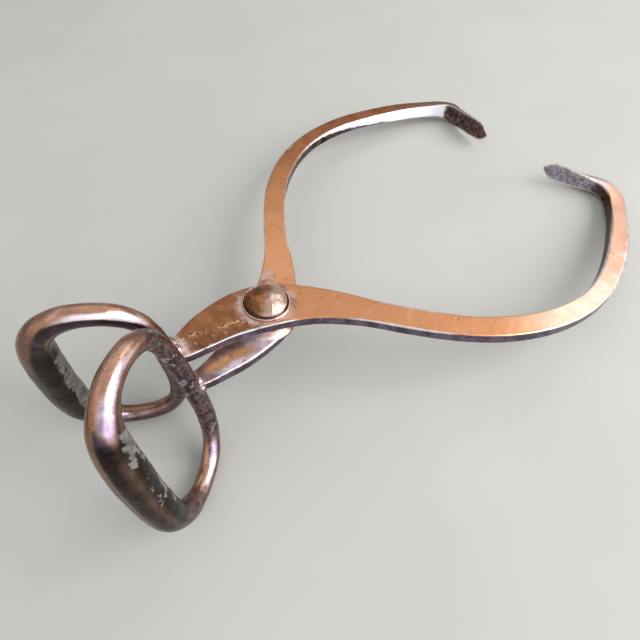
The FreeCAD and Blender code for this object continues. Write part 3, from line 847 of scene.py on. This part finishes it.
class Shader:
    """Wires nodes in an emptied tree. Spans are (start, end) of an eased ramp."""

    def __init__(self, tree):
        self.tree = tree
        tree.nodes.clear()
        self.coords = self.node("TexCoord")

    def put(self, socket, value):
        if isinstance(value, bpy.types.NodeSocket):
            self.tree.links.new(value, socket)
        else:
            socket.default_value = value

    def node(self, kind, inputs=None, **settings):
        node = self.tree.nodes.new("ShaderNode" + kind)
        for key, value in settings.items():
            setattr(node, key, value)
        for key, value in (inputs or {}).items():
            self.put(node.inputs[key], value)
        return node

    def attribute(self, name):
        return self.node("Attribute", attribute_name=name).outputs["Fac"]

    def masks(self, names):
        return SimpleNamespace(**{name: self.attribute(name) for name in names.split()})

    def noise(self, scale, seed, detail=4, rough=0.7, stretch=(1, 1, 1)):
        place = self.node("Mapping", {"Vector": self.coords.outputs["Object"],
                                      "Location": (seed, seed * 0.7, -seed), "Scale": stretch})
        return self.node("TexNoise", {"Vector": place.outputs[0], "Scale": scale,
                                      "Detail": detail, "Roughness": rough}).outputs["Fac"]

    def ramp(self, value, span, to=(0.0, 1.0)):
        return self.node("MapRange", {
            "Value": value, "From Min": span[0], "From Max": span[1],
            "To Min": to[0], "To Max": to[1]}, interpolation_type="SMOOTHSTEP").outputs[0]

    def math(self, operation, a, b, clamp=False):
        return self.node("Math", {0: a, 1: b}, operation=operation, use_clamp=clamp).outputs[0]

    def times(self, a, b, clamp=False):
        return self.math("MULTIPLY", a, b, clamp)

    def invert(self, value):
        return self.math("SUBTRACT", 1.0, value)

    def mix(self, factor, a, b):
        """Blend a to b: plain numbers if b is one, otherwise colours."""
        if isinstance(b, float):
            return self.node("Mix", {0: factor, 2: a, 3: b}, data_type="FLOAT",
                             clamp_factor=True).outputs[0]
        return self.node("Mix", {0: factor, 6: linear(a), 7: linear(b)}, data_type="RGBA",
                         clamp_factor=True).outputs[2]

    def mottle(self, noise, span, a, b):
        """Two colours parted by a noise."""
        return self.mix(self.ramp(noise, span), a, b)

    def lay(self, base, over, on, span=None, amount=None):
        """Lay a colour or number over base where the mask is on."""
        if span:
            on = self.ramp(on, span)
        if amount is not None:
            on = self.times(on, amount)
        return self.mix(on, base, over)

    def bump(self, height, strength, distance, over=None):
        inputs = {"Strength": strength, "Distance": distance, "Height": height}
        if over:
            inputs["Normal"] = over
        return self.node("Bump", inputs).outputs[0]


class Material(Shader):
    """A Principled material."""

    def __init__(self, name):
        self.mat = bpy.data.materials.new(name)
        self.mat.use_nodes = True
        super().__init__(self.mat.node_tree)
        self.bsdf = self.node("BsdfPrincipled")
        self.output = self.node("OutputMaterial", {0: self.bsdf.outputs[0]})

    def finish(self, colour, roughness, normal, metallic=0.0):
        for key, value in (("Base Color", colour), ("Metallic", metallic),
                           ("Roughness", roughness), ("Normal", normal)):
            self.put(self.bsdf.inputs[key], value)
        return self.mat


# ------------------------------------------------------------------ arm materials
def lower_flat(g, flat, mask, big, mid):
    """Lower arm's top: redder and duller towards the jaw, a patchwork on the shank."""
    along, shank = mask.along, mask.shank
    stretch = g.times(g.ramp(along, (0.10, 0.16)), g.ramp(along, (0.40, 0.30)))
    flat = g.lay(flat, g.mottle(big, (0.36, 0.64), (236, 164, 116), (246, 178, 130)), on=stretch)
    dull = g.mottle(mid, (0.40, 0.62), (170, 106, 70), (190, 122, 84))
    flat = g.lay(flat, dull, on=along, span=(0.34, 0.62))
    flat = g.lay(flat, (166, 128, 110), on=along, span=(0.74, 0.86))
    flat = g.lay(flat, (150, 130, 140), on=g.times(shank, g.invert(mask.up)))
    flat = g.lay(flat, (206, 168, 140), on=shank, amount=0.8)
    lilac = g.mottle(mid, (0.40, 0.60), (206, 190, 208), (236, 224, 238))
    flat = g.lay(flat, lilac, on=mask.zone_a)
    worn = g.ramp(g.noise(190, seed=21.0), (0.36, 0.56), to=(0.45, 0.9))
    ochre = g.mottle(mid, (0.42, 0.6), (224, 166, 108), (240, 200, 156))
    flat = g.lay(flat, ochre, on=g.times(mask.zone_b, worn))
    flecks = g.ramp(g.noise(240, seed=23.0, rough=0.75), (0.56, 0.66))
    flat = g.lay(flat, (122, 98, 96), on=g.times(shank, flecks), amount=0.55)
    dark = g.mottle(mid, (0.42, 0.6), (112, 96, 108), (176, 166, 172))
    return g.lay(flat, dark, on=mask.zone_c, amount=0.8)


def upper_flat(g, flat, mask, big, mid, speck):
    """Upper arm's top: pale towards the jaw, brown and crusted on the shank."""
    along = mask.along
    flat = g.lay(flat, (240, 208, 184), on=along, span=(0.44, 0.56))
    rosy = g.mottle(big, (0.36, 0.64), (222, 168, 138), (236, 188, 160))
    flat = g.lay(flat, rosy, on=along, span=(0.60, 0.70))
    brown = g.mottle(mid, (0.40, 0.62), (142, 90, 62), (176, 116, 82))
    flat = g.lay(flat, brown, on=mask.shank, amount=0.85)
    bright = g.mottle(mid, (0.42, 0.55), (206, 160, 144), (252, 232, 226))
    flat = g.lay(flat, bright, on=mask.zone_a, amount=0.85)
    crust = g.mottle(speck, (0.44, 0.56), (92, 62, 46), (170, 114, 78))
    crust = g.lay(crust, (255, 214, 166), on=g.noise(420, seed=3.3, rough=0.75),
                  span=(0.50, 0.57))
    crust = g.lay(crust, (60, 42, 34), on=g.noise(260, seed=13.3, rough=0.8), span=(0.56, 0.64))
    strip = g.mottle(speck, (0.42, 0.60), (96, 68, 50), (146, 104, 74))
    flat = g.lay(flat, strip, on=mask.zone_b, amount=0.62)
    flat = g.lay(flat, crust, on=mask.rough, amount=0.95)
    flat = g.lay(flat, (238, 186, 150), on=mask.zone_c, amount=0.7)
    return g.lay(flat, (206, 190, 192), on=along, span=(0.875, 0.90))


def side_colour(g, lower, mask, mid, speck):
    """Dark violet-grey steel with lighter worn places, with painted shade and a painted silver
    highlight laid on by mask.
    """
    side = g.mottle(mid, (0.40, 0.62), (84, 74, 88), (122, 110, 128))
    side = g.lay(side, (176, 168, 186), on=g.noise(300, seed=8.0, rough=0.75),
                 span=(0.60, 0.70), amount=0.7)
    side = g.lay(side, (48, 38, 40), on=speck, span=(0.60, 0.70), amount=0.6)
    # painted shade on the inner side
    painted_dark = ((58, 44, 36), (104, 86, 74)) if lower else ((66, 46, 32), (108, 80, 58))
    side = g.lay(side, g.mottle(mid, (0.4, 0.65), *painted_dark), on=mask.burn)
    # painted highlight, silver-white, on the inner side
    silver = g.mottle(g.noise(70, seed=3.9, detail=3, rough=0.5), (0.36, 0.64),
                      (240, 236, 246), (253, 252, 255))
    return g.lay(side, silver, on=mask.shine)


def under_colour(g, big, mid, speck):
    under = g.mottle(big, (0.34, 0.66), (128, 100, 82), (158, 122, 98))
    under = g.lay(under, (112, 88, 76), on=mid, span=(0.36, 0.72), amount=0.40)
    under = g.lay(under, (180, 142, 118), on=g.noise(340, seed=27.0, detail=5, rough=0.75),
                  span=(0.54, 0.68), amount=0.45)
    return g.lay(under, (78, 58, 50), on=speck, span=(0.55, 0.70), amount=0.5)


def blade_colour(g, lower, mask):
    """Pitted dull scale."""
    if lower:
        blade = g.mottle(g.noise(330, seed=5.0), (0.42, 0.60), (76, 60, 56), (142, 122, 118))
        blade = g.lay(blade, (118, 90, 86), on=mask.along, span=(0.93, 1.0))
        return g.lay(blade, (34, 27, 26), on=mask.pit, amount=0.85)
    blade = g.mottle(g.noise(300, seed=5.0), (0.40, 0.62), (150, 142, 156), (196, 190, 204))
    blade = g.lay(blade, (222, 218, 226), on=g.noise(520, seed=15.0, detail=3),
                  span=(0.62, 0.70), amount=0.8)
    return g.lay(blade, (92, 84, 92), on=mask.pit, amount=0.55)


def edge_wear(g, lower, mask):
    """Mask of the long edges worn to bright steel."""
    patches = g.ramp(g.noise(200, seed=7.7, detail=3, rough=0.6), (0.26, 0.46))
    wear = g.times(g.ramp(mask.edge, (0.22, 0.55)), patches, clamp=True)
    wear = g.times(wear, g.invert(g.times(mask.down, 0.8)), clamp=True)
    if lower:
        wear = g.times(wear, g.ramp(mask.along, (0.86, 0.90), to=(1.0, 0.45)))
    rub_and_glint = g.ramp(g.noise(260, seed=17.7, detail=3, rough=0.6), (0.24, 0.40), to=(0.45, 1.0))
    return g.math("MAXIMUM", wear, g.times(mask.rim, rub_and_glint))


def arm_material(name, lower):
    g = Material(name)
    mask = g.masks("edge up blade down pit along nick shank shine burn rough halo "
                   "zone_a zone_b zone_c rim")
    big = g.noise(24, seed=1.7, detail=3, rough=0.5)
    mid = g.noise(120, seed=4.1, rough=0.6)
    fine = g.noise(1500, seed=2.3, detail=2, rough=0.5)
    speck = g.noise(620, seed=5.9)
    grain = g.noise(900, seed=9.0, rough=0.6, stretch=(1, 1, 3))
    # copper-bronze sheen on the flats, drifting lighter and darker
    flat = g.mottle(big, (0.36, 0.64), (214, 148, 102), (226, 158, 112))
    flat = g.lay(flat, (240, 196, 160), on=mid, span=(0.52, 0.72), amount=0.35)
    flat = g.lay(flat, (150, 92, 60), on=speck, span=(0.60, 0.74), amount=0.30)
    flat = g.lay(flat, (250, 214, 180), on=fine, span=(0.62, 0.80), amount=0.30)
    if lower:
        flat = lower_flat(g, flat, mask, big, mid)
    else:
        flat = upper_flat(g, flat, mask, big, mid, speck)
    pink = g.mottle(mid, (0.36, 0.58), (150, 112, 98), (228, 196, 182))
    flat = g.lay(flat, pink, on=mask.halo, amount=0.85)
    col = g.lay(side_colour(g, lower, mask, mid, speck), flat, on=mask.up)
    col = g.lay(col, under_colour(g, big, mid, speck), on=mask.down)
    col = g.lay(col, blade_colour(g, lower, mask), on=mask.blade)
    col = g.lay(col, (110, 68, 44), on=g.times(mask.pit, g.invert(mask.blade)), amount=0.6)
    col = g.lay(col, (150, 128, 120), on=mask.nick, amount=0.35)
    wear = edge_wear(g, lower, mask)
    col = g.lay(col, g.mottle(mid, (0.4, 0.6), (240, 226, 218), (254, 250, 250)), on=wear)

    metal = g.mix(mask.shine, 1.0, 0.30)
    if lower:
        metal = g.lay(metal, 0.45, on=g.times(mask.shank, mask.up), amount=0.5)
    rough = g.ramp(mid, (0.3, 0.7), to=(0.25, 0.34))
    rough = g.lay(rough, 0.36, on=mask.shank, amount=0.6)
    rough = g.lay(rough, 0.44, on=mask.rough, amount=0.8)
    rough = g.lay(rough, 0.24, on=mask.shine)
    zones = g.math("ADD", mask.zone_a, mask.zone_b, clamp=True)
    rough = g.lay(rough, 0.58, on=zones, amount=0.9 if lower else 0.4)
    for on, value in ((mask.blade, 0.50), (mask.down, 0.46), (wear, 0.26), (mask.pit, 0.55)):
        rough = g.lay(rough, value, on=on)
    normal = g.bump(grain, strength=0.16, distance=0.00018)
    normal = g.bump(fine, strength=0.22, distance=0.00008, over=normal)
    scale = g.math("ADD", g.math("ADD", mask.rough, mask.blade), 0.10)
    normal = g.bump(g.times(speck, scale), strength=0.55, distance=0.00045, over=normal)
    return g.finish(col, rough, normal, metal)


# ------------------------------------------------------------------ ring and small materials
def ring_material(name, seed):
    g = Material(name)
    mask = g.masks("coat grip pit low rootz lip cool brown navy inky sheen ridge")
    big = g.noise(34, seed=seed, detail=3, rough=0.55)
    mid = g.noise(130, seed=seed + 2, rough=0.62)
    fine = g.noise(900, seed=seed + 3, rough=0.65)
    # bronze on top, a cool painted reflection along the near shoulder, painted shade below it
    warm = g.mottle(big, (0.38, 0.62), (190, 140, 112), (214, 168, 142))
    warm = g.lay(warm, (238, 208, 196), on=mid, span=(0.54, 0.72), amount=0.5)
    warm = g.lay(warm, (112, 78, 62), on=fine, span=(0.56, 0.70), amount=0.60)
    warm = g.lay(warm, (250, 216, 192), on=g.noise(620, seed=seed + 31, detail=3),
                 span=(0.60, 0.68), amount=0.65)
    # white: painted reflection of the cool window
    white = g.mottle(mid, (0.40, 0.62), (196, 176, 206), (236, 226, 240))
    white = g.lay(white, (150, 124, 130), on=fine, span=(0.57, 0.70), amount=0.40)
    # umber and dusk: painted shade; navy: a painted dark reflection
    umber = g.mottle(mid, (0.40, 0.66), (116, 86, 70), (146, 110, 90))
    dusk = g.mottle(mid, (0.38, 0.66), (42, 33, 30), (60, 48, 43))
    dusk = g.lay(dusk, (132, 122, 136), on=g.noise(420, seed=seed + 21, detail=3),
                 span=(0.62, 0.70), amount=0.45)
    dusk = g.lay(dusk, g.mottle(mid, (0.40, 0.62), (38, 36, 46), (74, 71, 92)), on=mask.navy)
    dusk = g.lay(dusk, g.mottle(mid, (0.38, 0.66), (74, 62, 72), (118, 104, 122)),
                 on=g.invert(mask.grip), amount=0.8)
    col = g.lay(warm, white, on=mask.cool, amount=0.82)
    col = g.lay(col, umber, on=mask.brown, amount=0.9)
    col = g.lay(col, dusk, on=mask.low)
    # painted shade (inky) and painted highlight (sheen) on the upper ring's top strand
    col = g.lay(col, (44, 38, 50), on=mask.inky, amount=0.75)
    col = g.lay(col, (252, 246, 252), on=mask.sheen, amount=0.8)
    # a painted highlight along the shoulder of the grip
    rub_and_glint = g.ramp(mid, (0.36, 0.62), to=(0.34, 0.68))
    col = g.lay(col, (132, 104, 92), on=g.times(mask.ridge, rub_and_glint))
    # the strand by the weld is scaly and dark with grey lumps
    scale = g.mottle(g.noise(260, seed=seed + 9), (0.42, 0.58), (66, 55, 58), (124, 108, 112))
    scale = g.lay(scale, (198, 192, 202), on=g.noise(150, seed=seed + 11), span=(0.58, 0.62))
    scale = g.lay(scale, (196, 142, 114), on=fine, span=(0.58, 0.66), amount=0.6)
    col = g.lay(col, scale, on=mask.rootz, amount=0.88)
    pitted = g.times(mask.pit, g.math("ADD", 0.25, g.times(mask.rootz, 0.5)))
    col = g.lay(col, (52, 38, 34), on=pitted)
    col = g.lay(col, g.mottle(mid, (0.4, 0.6), (118, 106, 98), (160, 146, 136)),
                on=mask.lip, amount=0.7)
    col = g.lay(col, g.mottle(g.noise(260, seed=seed + 5), (0.35, 0.65), (84, 78, 75),
                              (128, 122, 117)), on=mask.coat)

    metal = g.mix(mask.coat, g.mix(g.attribute("sheen"), 1.0, 0.45), 0.25)
    rough = g.ramp(mid, (0.3, 0.7), to=(0.20, 0.32))
    rough = g.lay(rough, 0.34, on=mask.low, amount=0.8)
    rough = g.lay(rough, 0.42, on=mask.rootz, amount=0.6)
    rough = g.lay(rough, 0.55, on=mask.pit, amount=0.6)
    rough = g.lay(rough, 0.6, on=mask.coat)
    normal = g.bump(g.noise(300, seed=seed + 1, detail=5, rough=0.65), strength=0.20,
                    distance=0.0003)
    normal = g.bump(fine, strength=0.42, distance=0.0001, over=normal)
    return g.finish(col, rough, normal, metal)


def small_material(name, tones, rough, seed, scale=1.0, warm=None):
    """Worn metal of three tones; warm tints the parts under the warm mask, painted shade on the
    rivet's dome.
    """
    g = Material(name)
    big = g.noise(90 * scale, seed=seed, detail=3, rough=0.6)
    mid = g.noise(300 * scale, seed=seed + 1, rough=0.65)
    fine = g.noise(1200 * scale, seed=seed + 2, detail=3, rough=0.6)
    col = g.mottle(big, (0.38, 0.62), tones[0], tones[1])
    col = g.lay(col, tones[2], on=mid, span=(0.55, 0.72))
    if warm:
        tint = g.mottle(mid, (0.4, 0.62), warm, (190, 124, 78))
        col = g.lay(col, tint, on=g.attribute("warm"))
    col = g.lay(col, (70, 50, 42), on=g.attribute("pit"), amount=0.55)
    col = g.lay(col, (90, 64, 52), on=fine, span=(0.62, 0.8), amount=0.6)
    # painted shade in the groove
    col = g.lay(col, (62, 46, 42), on=g.attribute("groove"), amount=0.9)
    normal = g.bump(mid, strength=0.3, distance=0.0003)
    normal = g.bump(fine, strength=0.3, distance=0.0001, over=normal)
    return g.finish(col, g.ramp(mid, (0.3, 0.7), to=rough), normal, metallic=1.0)


# ------------------------------------------------------------------ build
upper = build_arm("upper_arm_forging", 1)
lower = build_arm("lower_arm_forging", -1)
ring_u = build_ring("upper_ring_bar", 1)
ring_l = build_ring("lower_ring_bar", -1)
weld_u = build_weld("upper_weld_bead", UPPER_WELD, seed=5)
weld_l = build_weld("lower_weld_bead", LOWER_WELD, seed=9)
rivet = build_rivet()
washer = build_washer("rivet_head_rim", HEAD_WASHER, base=BOSS_T, seg=112, worn_from=12.2,
                      wear=0.10, seed=13, above=BOSS_T + 0.1, groove=(12.85, 12.55))
rove = build_washer("rivet_tail_rove", TAIL_WASHER, base=TAIL_Z, seg=96, worn_from=11.5,
                    wear=0.08, seed=23)

# Object, material, the body it rides, the CAD piece it replaces, its slot
PARTS = [
    (upper, arm_material("upper_arm_forged", lower=False),
     "upper", "upper_arm", "forged_arm_steel"),
    (lower, arm_material("lower_arm_forged", lower=True),
     "lower", "lower_arm", "forged_arm_steel"),
    (ring_u, ring_material("upper_ring_bronzed", seed=3.0),
     "upper", "upper_ring_handle", "handle_steel"),
    (ring_l, ring_material("lower_ring_bronzed", seed=14.0),
     "lower", "lower_ring_handle", "handle_steel"),
    (weld_u, small_material(
        "weld_pink_a", tones=((172, 142, 140), (206, 180, 176), (240, 226, 224)),
        rough=(0.30, 0.46), seed=2.0), "upper", "upper_handle_weld", "weld_metal"),
    (weld_l, small_material(
        "weld_pink_b", tones=((146, 128, 134), (196, 172, 174), (236, 222, 222)),
        rough=(0.30, 0.46), seed=5.0), "lower", "lower_handle_weld", "weld_metal"),
    (rivet, small_material(
        "rivet_bronze", tones=((206, 170, 150), (232, 204, 190), (246, 230, 226)),
        rough=(0.28, 0.38), seed=7.0, scale=0.5, warm=(124, 86, 56)),
     "upper", "pivot_rivet", "rivet_steel"),
    (washer, small_material(
        "washer_worn", tones=((206, 172, 160), (230, 202, 194), (244, 228, 224)),
        rough=(0.28, 0.42), seed=11.0), "upper", "rivet_head_washer", "washer_steel"),
    (rove, small_material(
        "rove_worn", tones=((150, 118, 108), (184, 152, 140), (204, 180, 170)),
        rough=(0.32, 0.46), seed=15.0), "upper", "rivet_tail_washer", "washer_steel"),
]
for ob, material, body, node, slot in PARTS:
    ob.data.materials.clear()
    ob.data.materials.append(material)
    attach(ob, body)
    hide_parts(node)

# ------------------------------------------------------------------ stage, metres
FLOOR_NORMAL = Vector((-0.1906, 0.0326, 0.9811)).normalized()
FLOOR_OFFSET = -50.79 * MM                       # along the normal from the origin


def floor_material():
    """Pale floor, clear when seen from beneath."""
    g = Material("floor_pale")
    pale = g.mottle(g.noise(9, seed=1.0, detail=3, rough=0.5), (0.35, 0.65),
                    (190, 190, 185), (193, 193, 188))
    clear = g.node("MixShader", {
        0: g.node("NewGeometry").outputs["Backfacing"], 1: g.bsdf.outputs[0],
        2: g.node("BsdfTransparent").outputs[0]})
    g.put(g.output.inputs[0], clear.outputs[0])
    normal = g.bump(g.noise(420, seed=2.0, detail=2, rough=0.5), strength=0.05, distance=0.0003)
    return g.finish(pale, 0.72, normal)


def build_floor():
    bm = bmesh.new()
    bmesh.ops.create_circle(bm, cap_ends=True, radius=6.0, segments=96)
    mesh = bpy.data.meshes.new("floor")
    bm.to_mesh(mesh)
    bm.free()
    floor = bpy.data.objects.new("floor", mesh)
    bpy.context.scene.collection.objects.link(floor)
    floor.rotation_mode = "QUATERNION"
    floor.rotation_quaternion = FLOOR_NORMAL.to_track_quat("Z", "Y")
    floor.location = FLOOR_NORMAL * FLOOR_OFFSET
    mesh.materials.append(floor_material())


def build_key():
    """One broad soft light from the +X, -Y side."""
    place, target = Vector((0.70, -1.00, 0.95)), Vector((0.08, 0, 0))
    light = bpy.data.lights.new("key", "AREA")
    light.energy = 24
    light.color = (1.0, 0.97, 0.94)
    light.shape = "SQUARE"
    light.size = 1.1
    ob = bpy.data.objects.new("key", light)
    bpy.context.scene.collection.objects.link(ob)
    ob.location = place
    ob.rotation_mode = "QUATERNION"
    ob.rotation_quaternion = (target - place).to_track_quat("-Z", "Y")


def sky_patch(g, az, el, fade, full, to):
    """Strength that goes from to[0] at fade degrees off a direction to to[1] at full degrees."""
    a, e = math.radians(az), math.radians(el)
    direction = (math.cos(e) * math.cos(a), math.cos(e) * math.sin(a), math.sin(e))
    dot = g.node("VectorMath", operation="DOT_PRODUCT",
                 inputs={0: g.coords.outputs["Generated"], 1: direction})
    span = (math.cos(math.radians(fade)), math.cos(math.radians(full)))
    return g.ramp(dot.outputs["Value"], span, to)


def build_world():
    """Studio walls: dim near the floor, brighter overhead, with a few bright patches."""
    world = bpy.data.worlds.new("studio")
    bpy.context.scene.world = world
    world.use_nodes = True
    g = Shader(world.node_tree)
    height = g.node("SeparateXYZ", {0: g.coords.outputs["Generated"]}).outputs["Z"]
    sky = g.ramp(height, (0.36, 0.74), to=(0.30, 0.80))
    sky = g.times(sky, sky_patch(g, az=205, el=30, fade=95, full=25, to=(1.0, 0.80)))
    for az, el, fade, full, strength in (
            (190, 15, 62, 25, 0.34), (8, 36, 32, 10, 0.12), (7, 41, 8, 3, 2.4)):
        sky = g.math("ADD", sky, sky_patch(g, az, el, fade, full, to=(0.0, strength)))
    tint = g.node("Mix", {0: g.ramp(height, (0.0, 0.7)), 6: (1.0, 0.96, 0.92, 1),
                          7: (0.97, 0.98, 1.0, 1)}, data_type="RGBA").outputs[2]
    walls = g.node("Background", {"Color": tint, "Strength": sky})
    # a low cool window towards -Y, down to the horizon
    glow = sky_patch(g, az=-78, el=8, fade=50, full=24, to=(0.0, 1.7))
    window = g.node("Background", {"Color": (0.88, 0.91, 1.0, 1), "Strength": glow})
    both = g.node("AddShader", {0: walls.outputs[0], 1: window.outputs[0]})
    # seen directly, the surround is a plain pale wall
    plain = g.node("Background", {"Color": (0.93, 0.93, 0.91, 1), "Strength": 0.72})
    pick = g.node("MixShader", {0: g.node("LightPath").outputs["Is Camera Ray"],
                                1: both.outputs[0], 2: plain.outputs[0]})
    g.node("OutputWorld", {0: pick.outputs[0]})


# Camera: place as a direction and distance from a point just above the origin,
# and aim as angles in degrees against the plane of the arms
VIEW_FROM, VIEW_DISTANCE = Vector((-0.38499746, -0.50927023, 0.76968876)), 0.3
VIEW_CENTRE = Vector((0, 0, 0.0017))
PITCH, AZIMUTH, ROLL = 51.03, 43.61, 4.93


def build_camera():
    pitch, azimuth, roll = map(math.radians, (PITCH, AZIMUTH, ROLL))
    forward = Vector((math.cos(pitch) * math.cos(azimuth), math.cos(pitch) * math.sin(azimuth),
                      -math.sin(pitch)))
    level = Vector((math.sin(azimuth), -math.cos(azimuth), 0.0))
    above = level.cross(forward)
    right = level * math.cos(roll) + above * math.sin(roll)
    up = -level * math.sin(roll) + above * math.cos(roll)
    data = bpy.data.cameras.new("camera")
    data.sensor_width = 36.0
    data.lens = 29.25
    data.clip_start = 0.01
    camera = bpy.data.objects.new("camera", data)
    bpy.context.scene.collection.objects.link(camera)
    camera.rotation_mode = "QUATERNION"
    camera.rotation_quaternion = Matrix((right, up, -forward)).transposed().to_quaternion()
    camera.location = VIEW_FROM * VIEW_DISTANCE + VIEW_CENTRE
    bpy.context.scene.camera = camera


build_floor()
build_key()
build_world()
build_camera()
bpy.context.scene.view_settings.view_transform = "Standard"
